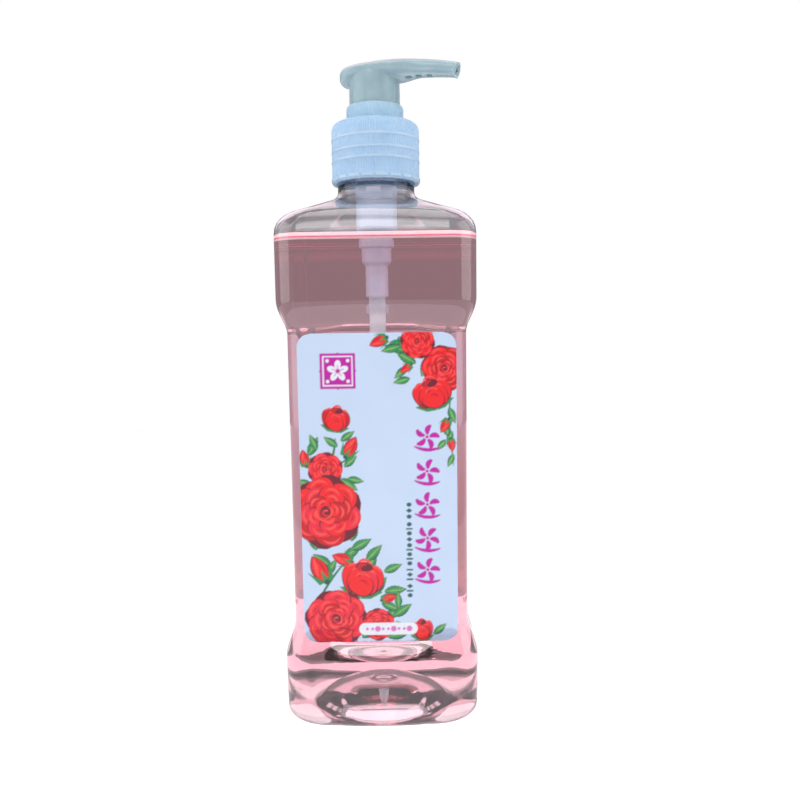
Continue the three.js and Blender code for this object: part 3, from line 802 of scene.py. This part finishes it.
def make_stage():
    """A pale floor, a bright disc below it for refracted rays alone, and a backdrop for the camera."""
    floor = stage_disc("floor", FLOOR_RADIUS, 0, (0.93, 0.93, 0.93), FLOOR_GLOW)
    hide_from(floor, "transmission")
    underlight = stage_disc("underlight", UNDERLIGHT_RADIUS, -UNDERLIGHT_DROP,
                            (0.9, 0.72, 0.8), UNDERLIGHT_GLOW, (1.0, 0.80, 0.88))
    hide_from(underlight, "camera", "diffuse", "glossy", "shadow", "volume_scatter")
    bm = bmesh.new()
    bmesh.ops.create_icosphere(bm, subdivisions=3, radius=BACKDROP_RADIUS)
    bm.verts.ensure_lookup_table()
    verts = [tuple(v.co) for v in bm.verts]
    faces = [tuple(v.index for v in face.verts) for face in bm.faces]
    bm.free()
    backdrop = stage_mesh("backdrop", verts, faces, (0, 0, 0), 1.0)
    hide_from(backdrop, "diffuse", "glossy", "transmission", "shadow", "volume_scatter")


def area_light(name, place, target, size, radiance, color=(1, 1, 1)):
    """A softbox that looks as bright as radiance, where 1 is white."""
    data = bpy.data.lights.new(name, "AREA")
    data.shape = "RECTANGLE"
    data.size, data.size_y = size
    data.energy = radiance * math.pi * size[0] * size[1]
    data.color = color
    light = new_object(name, data)
    light.location = place
    light.rotation_euler = (Vector(target) - Vector(place)).to_track_quat("-Z", "Y").to_euler()


def make_lights():
    world = bpy.data.worlds.new("studio")
    bpy.context.scene.world = world
    world.use_nodes = True
    world.node_tree.nodes["Background"].inputs["Color"].default_value = ROOM_COLOR
    middle = (0, 0, 0.12)
    area_light("left_box", (-0.9, -0.15, 0.45), middle, (0.9, 1.05), 1.1)
    area_light("right_box", (0.9, -0.15, 0.45), middle, (0.9, 1.05), 1.1)
    area_light("front_box", (-0.12, -0.9, 0.85), middle, (0.8, 0.6), 3.2)
    area_light("top_box", (0.1, 0.1, 1.2), middle, (0.8, 0.8), 1.6)
    area_light("back_box", (0, 1.0, 0.9), middle, (1.6, 0.8), 0.85, (1.0, 0.80, 0.90))
    bpy.context.scene.view_settings.view_transform = "Standard"


# ---------------------------------------------------------------- labels

SHEET_STEP = 0.28
SHEET_SAMPLES = 4
FILM_FACE = 30.84
FILM_BACK = 30.72


def make_labels():
    label_sheet("front_film", "front_label", 1, FILM, front_art())
    label_sheet("back_film", "back_label", -1, BACK_FILM, Print())


def row_height(row, rows):
    """The second and the last but one row lie almost on the edges, where the rounded corner leaves them."""
    if row in (1, rows - 1):
        return LABEL_HEIGHT * (1 - math.cos(math.pi * row / rows)) / 2
    return LABEL_HEIGHT * row / rows


def label_sheet(name, node, sign, material, art):
    """A sheet gridded to fit the rounded outline, so that the print can be painted on its points."""
    columns, rows = round(LABEL_WIDTH / SHEET_STEP), round(LABEL_HEIGHT / SHEET_STEP)
    grid = []
    for j in range(rows + 1):
        z = row_height(j, rows)
        rise = max(LABEL_CORNER - z, z - LABEL_HEIGHT + LABEL_CORNER, 0)
        half = LABEL_WIDTH / 2 - LABEL_CORNER + math.sqrt(max(LABEL_CORNER ** 2 - rise ** 2, 0))
        grid += [(half * (2 * i / columns - 1), z) for i in range(columns + 1)]
    inks = art.colours_at([(x + LABEL_WIDTH / 2, z) for x, z in grid])
    verts = [(sign * x, -sign * FILM_FACE, z + LABEL_LOW[2]) for x, z in grid]
    wide = columns + 1
    faces = [(j * wide + i, j * wide + i + 1, (j + 1) * wide + i + 1, (j + 1) * wide + i)
             for j in range(rows) for i in range(columns)]
    edge = list(range(columns)) + [j * wide + columns for j in range(rows)]
    edge += [rows * wide + i for i in range(columns, 0, -1)] + [j * wide for j in range(rows, 0, -1)]
    start = len(verts)
    verts += [(verts[i][0], -sign * FILM_BACK, verts[i][2]) for i in edge]
    faces.append(tuple(range(start + len(edge) - 1, start - 1, -1)))
    for k in range(len(edge)):
        before = (k - 1) % len(edge)
        faces.append((edge[before], start + before, start + k, edge[k]))
    film = make_piece(name, verts, faces, "bottle", [node], material, smooth=False)
    fix_normals(film)
    colours = film.data.color_attributes.new("ink", "FLOAT_COLOR", "POINT")
    padded = np.zeros((len(verts), 4), dtype=np.float32)
    padded[:start] = inks
    colours.data.foreach_set("color", padded.ravel())


class Print:
    """Flat inked shapes on a label, each painted over the last.

    Points are millimetres from the label's lower left."""

    def __init__(self):
        self.pitch = SHEET_STEP / SHEET_SAMPLES
        self.size = (round(LABEL_HEIGHT / self.pitch) + 1, round(LABEL_WIDTH / self.pitch) + 1)
        self.paint = np.zeros((*self.size, 4), dtype=np.float32)

    def shape(self, points, ink):
        xs = np.array([p[0] for p in points]) / self.pitch
        zs = np.array([p[1] for p in points]) / self.pitch
        low_x, high_x = max(int(xs.min()), 0), min(int(xs.max()) + 2, self.size[1])
        low_z, high_z = max(int(zs.min()), 0), min(int(zs.max()) + 2, self.size[0])
        if low_x >= high_x or low_z >= high_z:
            return
        x, z = np.meshgrid(np.arange(low_x, high_x), np.arange(low_z, high_z))
        inside = np.zeros(x.shape, dtype=bool)
        for ax, az, bx, bz in zip(xs, zs, np.roll(xs, -1), np.roll(zs, -1)):
            if az != bz:
                inside ^= ((az > z) != (bz > z)) & (x < (bx - ax) * (z - az) / (bz - az) + ax)
        self.paint[low_z:high_z, low_x:high_x][inside] = (*ink, 1)

    def colours_at(self, points):
        """Ink and coverage at each point, averaged over the cell round it."""
        reach = SHEET_SAMPLES // 2
        padded = np.pad(self.paint, ((reach, reach), (reach, reach), (0, 0)), mode="edge")
        total = np.zeros_like(self.paint)
        for dz in range(2 * reach + 1):
            for dx in range(2 * reach + 1):
                total += padded[dz:dz + self.size[0], dx:dx + self.size[1]]
        rows = np.clip([round(z / self.pitch) for _, z in points], 0, self.size[0] - 1)
        columns = np.clip([round(x / self.pitch) for x, _ in points], 0, self.size[1] - 1)
        picked = total[rows, columns]
        coverage = picked[:, 3:]
        picked[:, :3] /= np.maximum(coverage, 1)
        picked[:, 3:] = coverage / (2 * reach + 1) ** 2
        return picked


def ink(red, green, blue):
    """Linear colour from the 0 to 255 values of a swatch."""
    return tuple((value / 255) ** 2.2 for value in (red, green, blue))


RED, DEEP, DARK = ink(250, 26, 36), ink(206, 10, 28), ink(112, 14, 44)
LIGHT, ROSY = ink(255, 78, 78), ink(246, 36, 62)
LEAF, LEAF_DARK, LEAF_LIGHT = ink(52, 146, 84), ink(18, 96, 76), ink(168, 214, 118)
MAGENTA, TEAL, WHITE_INK = ink(196, 0, 168), ink(36, 96, 104), ink(240, 246, 255)


def blob(x, z, width, height, turn=0.0, wave=0.0, lobes=5, phase=0.0, points=28):
    """An oval with a gently waved edge."""
    outline = []
    for k in range(points):
        angle = math.tau * k / points
        swell = 1 + wave * math.sin(lobes * angle + phase)
        px, pz = width / 2 * swell * math.cos(angle), height / 2 * swell * math.sin(angle)
        outline.append((x + px * math.cos(turn) - pz * math.sin(turn),
                        z + px * math.sin(turn) + pz * math.cos(turn)))
    return outline


def placed(x, z, turn, wide=1.0, tall=1.0):
    """A function that puts a point of a motif's own plane on the label."""
    def at(u, v):
        px, pz = u * wide, v * tall
        return x + px * math.cos(turn) - pz * math.sin(turn), z + px * math.sin(turn) + pz * math.cos(turn)

    return at


def square(x, z, half):
    return [(x - half, z - half), (x + half, z - half), (x + half, z + half), (x - half, z + half)]


def crescent(x, z, radius, start, span, thick, points=16):
    """A tapering arc, as the rolled edge of a petal."""
    outer, inner = [], []
    for k in range(points + 1):
        t = k / points
        angle = start + span * t
        half = thick * math.sin(math.pi * t) / 2
        outer.append((x + (radius + half) * math.cos(angle), z + (radius + half) * math.sin(angle)))
        inner.append((x + (radius - half) * math.cos(angle), z + (radius - half) * math.sin(angle)))
    return outer + inner[::-1]


def stroke(points, width, taper=True):
    """A brush line through points."""
    left, right = [], []
    last = len(points) - 1
    for k, (x, z) in enumerate(points):
        ax, az = points[max(k - 1, 0)]
        bx, bz = points[min(k + 1, last)]
        length = math.dist((ax, az), (bx, bz)) or 1
        half = width / 2 * (math.sin(math.pi * (0.12 + 0.76 * k / last)) if taper else 1)
        nx, nz = -(bz - az) / length * half, (bx - ax) / length * half
        left.append((x + nx, z + nz))
        right.append((x - nx, z - nz))
    return left + right[::-1]


def curve(start, bend, end, steps=8):
    """Points of a bent line."""
    return [tuple((1 - t) ** 2 * a + 2 * t * (1 - t) * b + t * t * c for a, b, c in zip(start, bend, end))
            for t in (k / steps for k in range(steps + 1))]


def leaf(art, x, z, length, turn, width=0.42):
    """A pointed leaf with a lighter half, side veins and a few teeth."""
    at = placed(x, z, turn)

    def edge(sign, size):
        return [(length * k / 14, sign * size * length * math.sin(math.pi * (k / 14) ** 0.8) / 2
                 * (1 + (0.10 if k % 2 else -0.04))) for k in range(15)]

    art.shape([at(*p) for p in edge(1, width) + edge(-1, width)[::-1]], LEAF_DARK)
    art.shape([at(*p) for p in edge(1, width * 0.85) + [(length, 0), (0, 0)]], LEAF)
    art.shape([at(*p) for p in [(0.1 * length, 0)] + edge(-1, width * 0.7)[2:12] + [(0.9 * length, 0)]], LEAF)
    for k in range(2, 7):
        for sign in (1, -1):
            root = length * k / 8
            tip = (root + 0.16 * length, sign * width * length * 0.30 * math.sin(math.pi * k / 8))
            art.shape(stroke([at(root, 0), at(*tip)], 0.16), LEAF_LIGHT)
    art.shape(stroke([at(0, 0), at(length * 0.5, 0), at(length * 0.96, 0)], 0.26), LEAF_LIGHT)


def rose(art, x, z, radius, seed, tilt=1.0, bright=RED):
    """An open rose: rings of overlapping petals that tighten into a dark spiral."""
    draw = random.Random(seed)
    art.shape(blob(x, z, radius * 2.04, radius * 2.04 * tilt, 0, 0.05, 6, draw.uniform(0, 6)), DARK)
    rings = ((0.98, 6, 0.86), (0.74, 6, 0.72), (0.54, 5, 0.58), (0.36, 4, 0.44), (0.2, 3, 0.3))
    for reach, petals, size in rings:
        twist = draw.uniform(0, math.tau)
        for k in range(petals):
            angle = twist + math.tau * k / petals + draw.uniform(-0.12, 0.12)
            across = radius * size * draw.uniform(0.92, 1.12)
            away = radius * reach - across * 0.42
            px, pz = x + away * math.cos(angle), z + away * math.sin(angle) * tilt
            shade = draw.choice((bright, bright, ROSY, DEEP))
            deep = across * 0.84
            art.shape(blob(px, pz, across * 1.08, deep * 1.1, angle + math.pi / 2, 0.04, 3, k), DARK)
            art.shape(blob(px + 0.03 * radius * math.cos(angle), pz + 0.03 * radius * math.sin(angle),
                           across, deep, angle + math.pi / 2, 0.05, 3, k), shade)
            art.shape(crescent(px, pz, deep * 0.40, angle - 1.15, 2.3, 0.07 * radius + 0.12), LIGHT)
            art.shape(crescent(px, pz, deep * 0.22, angle - 0.9, 1.7, 0.05 * radius), DEEP)
    art.shape(blob(x, z, radius * 0.36, radius * 0.36 * tilt), DARK)
    for turn in range(5):
        size = radius * (0.05 + 0.055 * turn)
        start = 2.1 * turn
        art.shape(crescent(x, z, size, start, 3.6, radius * 0.055 + 0.05), bright if turn % 2 else LIGHT)


def side_rose(art, x, z, width, height, seed, turn=0.0):
    """A half-open rose seen from the side: a cup of petals on green sepals."""
    draw = random.Random(seed)
    at = placed(x, z, turn, width / 2, height / 2)
    for side in (-1, -0.4, 0.4, 1):
        art.shape([at(0.12 * side - 0.1, -0.75), at(0.75 * side, -0.45),
                   at(1.05 * side, -0.75 + 0.25 * abs(side)), at(0.5 * side, -0.9), at(0.1, -0.95)], LEAF)
    petals = [(0, 0.25, 1.1, 1.25), (-0.5, 0.0, 0.95, 1.35), (0.5, 0.0, 0.95, 1.35), (-0.2, -0.1, 1.05, 1.2),
              (0.28, -0.18, 1.0, 1.15), (0.0, -0.35, 1.15, 0.95)]
    for number, (u, v, wide, tall) in enumerate(petals):
        cx, cz = at(u, v)
        lean = turn - 0.5 * u + draw.uniform(-0.08, 0.08)
        size = (width * wide / 2, height * tall / 2)
        art.shape(blob(cx, cz, size[0] * 1.08, size[1] * 1.05, lean, 0.05, 3, number), DARK)
        art.shape(blob(cx, cz + 0.02 * height, *size, lean, 0.06, 3, number),
                  draw.choice((RED, RED, ROSY, DEEP)))
        top = at(u, v + tall * 0.28)
        art.shape(crescent(*top, size[0] * 0.34, lean + 0.5, 2.2, 0.07 * width), LIGHT)
        art.shape(crescent(cx, cz, size[0] * 0.26, lean + 0.3, 1.8, 0.05 * width), DEEP)
    heart = at(0, 0.62)
    art.shape(blob(*heart, width * 0.42, height * 0.22, turn), DARK)
    for k in range(3):
        art.shape(crescent(*heart, width * (0.06 + 0.05 * k), turn + 0.4 + k, 3.4, width * 0.035), RED)


def bud(art, x, z, height, turn=0.0):
    """A closed bud on its sepals, pointing up when turn is 0."""
    at = placed(x, z, turn, height * 0.36, height / 2)
    shadow = curve((-0.15, -1), (-1.5, 0.0), (0, 1.05)) + curve((0, 1.05), (1.5, 0.0), (0.15, -1))
    petals = curve((-0.1, -0.9), (-1.25, 0.0), (0, 0.98)) + curve((0, 0.98), (1.3, 0.0), (0.1, -0.9))
    art.shape([at(*p) for p in shadow], DARK)
    art.shape([at(*p) for p in petals], RED)
    art.shape([at(*p) for p in curve((-0.45, -0.5), (-0.5, 0.4), (0.1, 0.9)) + [(0.0, 0.2)]], LIGHT)
    art.shape([at(*p) for p in curve((0.1, 0.75), (0.75, 0.2), (0.3, -0.5)) + [(0.25, 0.1)]], DEEP)
    for tip, base in (((-1.15, 0.25), -0.45), ((1.15, 0.2), 0.45), ((0.1, -0.05), 0.0)):
        art.shape([at(base - 0.28, -0.95), at(tip[0] * 0.7 - 0.12, -0.35),
                   at(*tip), at(base + 0.28, -0.95)], LEAF)
    art.shape(blob(*at(0, -0.98), height * 0.2, height * 0.16, turn), LEAF_DARK)


def seal_mark(art, x, z, size):
    """A square stamp with a five-petalled flower left white in it."""
    half = size / 2
    art.shape(blob(x, z, size * 1.06, size * 1.06, 0, 0.0, points=4), MAGENTA)
    for share, colour in ((1, MAGENTA), (0.86, WHITE_INK), (0.78, MAGENTA)):
        art.shape(square(x, z, half * share), colour)
    for k in range(5):
        angle = math.tau * k / 5 + math.pi / 2
        cx, cz = x + 0.36 * half * math.cos(angle), z + 0.36 * half * math.sin(angle)
        art.shape(blob(cx, cz, half * 0.52, half * 0.36, angle), WHITE_INK)
        art.shape(stroke([(cx, cz), (lerp(cx, x, 0.7), lerp(cz, z, 0.7))], 0.22, False), MAGENTA)
    art.shape(blob(x, z, half * 0.2, half * 0.2), MAGENTA)
    for sx in (-1, 1):
        for sz in (-1, 1):
            art.shape(blob(x + sx * half * 0.58, z + sz * half * 0.58, half * 0.2, half * 0.2), WHITE_INK)


def brush_flower(art, x, z, size, seed):
    """An ornament of a few brush strokes: five leaves round a dot, over one bent stroke."""
    draw = random.Random(seed)
    twist = draw.uniform(-0.5, 0.5)
    for k in range(5):
        angle = twist + math.tau * k / 5
        near = (x + 0.10 * size * math.cos(angle), z + 0.10 * size * math.sin(angle))
        far = (x + 0.48 * size * math.cos(angle), z + 0.48 * size * math.sin(angle))
        bend = (x + 0.34 * size * math.cos(angle + 0.5), z + 0.34 * size * math.sin(angle + 0.5))
        art.shape(stroke(curve(near, bend, far), size * 0.21), MAGENTA)
    side = draw.choice((-1, 1))
    art.shape(stroke(curve((x - 0.5 * side * size, z - 0.42 * size), (x, z - 0.62 * size),
                           (x + 0.5 * side * size, z - 0.36 * size)), size * 0.14), MAGENTA)
    art.shape(blob(x, z, size * 0.12, size * 0.12), MAGENTA)


def pill(art, x, z, width, height):
    """A white lozenge with a row of large and small pink dots."""
    radius = height / 2
    outline = [(x + side * (width / 2 - radius) + radius * math.cos(angle), z + radius * math.sin(angle))
               for side, start in ((1, -math.pi / 2), (-1, math.pi / 2))
               for angle in (start + math.pi * k / 10 for k in range(11))]
    art.shape(outline, WHITE_INK)
    pale = ink(226, 120, 196)
    for k in range(9):
        cx = x - width * 0.36 + width * 0.09 * k
        dot = height * (0.46 if k % 3 == 2 else 0.24)
        art.shape(blob(cx, z, dot, dot), pale)


def fine_print(art, x, z_from, z_to):
    """A vertical chain of teal beads, lozenges and bars in place of lettering."""
    draw = random.Random(4)
    z = z_from
    while z > z_to:
        kind = draw.randrange(3)
        length = (1.5, 0.7, 1.7)[kind]
        middle = z - length / 2
        if kind == 0:
            art.shape(blob(x, middle, 1.7, 1.5), TEAL)
        elif kind == 1:
            art.shape(stroke([(x - 1.1, middle), (x + 1.1, middle)], 0.6, False), TEAL)
        else:
            art.shape([(x - 1.1, middle), (x, middle - 0.85), (x + 1.1, middle), (x, middle + 0.85)], TEAL)
        z -= length + (1.2 if draw.random() < 0.18 else 0.5)


def front_art():
    """Roses down the left edge and in the upper right corner, ornaments down the right-hand side."""
    art = Print()
    stem = ink(60, 120, 70)
    # Upper right spray
    art.shape(stroke(curve((53, 101), (46, 97), (37, 101)), 0.7), stem)
    art.shape(stroke(curve((52, 88), (50, 80), (52.5, 62)), 0.6), stem)
    for x, z, length, turn in ((31, 104, 7.5, -0.15), (40, 97, 8, 2.6), (37, 96, 6, -2.4), (49, 77, 6, -1.2),
                               (50, 71, 5, -2.3), (34, 106, 6, -0.7), (44, 99, 7, -1.9), (52, 74, 5, -1.9),
                               (34, 100, 8, 1.1), (36, 101.5, 7, 2.9), (38, 92, 6, -2.9), (52.5, 66, 5, -2.0),
                               (51, 82, 6, -1.2), (35, 103, 7, 3.4)):
        leaf(art, x, z, length, turn)
    bud(art, 27.5, 104.6, 6.5, 2.0)
    rose(art, 40.6, 104.4, 5.6, 11)
    rose(art, 49.6, 95.2, 7.6, 12)
    bud(art, 36.6, 95.4, 4.6, 2.2)
    side_rose(art, 45.4, 86.6, 13.0, 12.0, 13, 0.25)
    bud(art, 49.6, 75.8, 5.4, 2.6)
    bud(art, 51.8, 69.2, 4.6, 3.3)
    # Left-hand spray
    art.shape(stroke(curve((12.2, 72), (12, 66), (9, 60)), 0.8), stem)
    art.shape(stroke(curve((18, 66), (15, 64), (12, 62)), 0.6), stem)
    art.shape(stroke(curve((16, 30), (8, 22), (3, 10)), 0.8), stem)
    for x, z, length, turn in ((3, 66, 7.5, 1.1), (7, 60, 7, 2.5), (13.5, 58, 7.5, -0.6), (15, 62, 6, 0.7),
                               (4, 56, 6, 2.9), (14, 30, 8, 0.6), (17, 36, 7, 1.3), (5, 33, 7, 1.9),
                               (22, 25, 8, 1.1), (10, 27, 8, 2.5), (24, 17, 8, 0.9), (28, 18, 8, 0.1),
                               (27, 8, 8, 0.5),
                               (24, 2.5, 9, 0.2), (36, 3, 6, 2.3), (8, 24, 7, 1.0), (1, 45, 6, 1.9),
                               (14, 71, 6, 0.6), (13, 69, 6, 2.5), (16, 58, 6, -0.2), (6, 68, 6, 2.0),
                               (17, 33, 8, 0.5), (15, 36, 6, 2.2), (2, 36, 6, 1.0), (22, 29, 8, 0.8),
                               (28, 25, 7, 0.4), (27, 14, 7, -0.4), (31, 9, 8, 0.6), (20, 1.5, 8, 0.6),
                               (29, 1.5, 9, 0.3), (37, 1.8, 7, 0.4), (45, 2.4, 6, 0.7), (33, 12, 6, 1.6)):
        leaf(art, x, z, length, turn)
    side_rose(art, 12.6, 78.4, 9.6, 9.6, 21, -0.15)
    bud(art, 17.4, 68.8, 8.0, -0.5)
    bud(art, 1.6, 65.2, 6.0, 0.2)
    rose(art, 8.6, 61.2, 5.8, 22)
    rose(art, 8.6, 46.4, 11.8, 23, 1.05)
    bud(art, 13.8, 29.8, 7.5, 1.2)
    bud(art, 5.8, 26.2, 10.5, 0.5)
    side_rose(art, 20.6, 22.4, 14.5, 14.5, 24, -0.15)
    rose(art, 11.4, 8.4, 10.6, 25, 0.95, ROSY)
    bud(art, 29.6, 15.6, 5.6, -1.3)
    rose(art, 25.8, 6.2, 5.6, 26, 1.0, ROSY)
    side_rose(art, 41.2, 4.0, 7.2, 9.0, 27, 0.1)
    # Ornaments
    seal_mark(art, 13.6, 94.8, 12.0)
    for k, z in enumerate((72.0, 60.2, 48.6, 36.8, 25.6)):
        brush_flower(art, 43.4 - 0.05 * k, z, 8.8, 40 + k)
    fine_print(art, 37.0, 49.4, 16.5)
    pill(art, 29.3, 4.6, 20.4, 4.4)
    return art


make_camera()
make_stage()
make_lights()
make_bottle()
make_oil()
make_labels()
make_closure()
make_collar()
make_pump()
make_head()
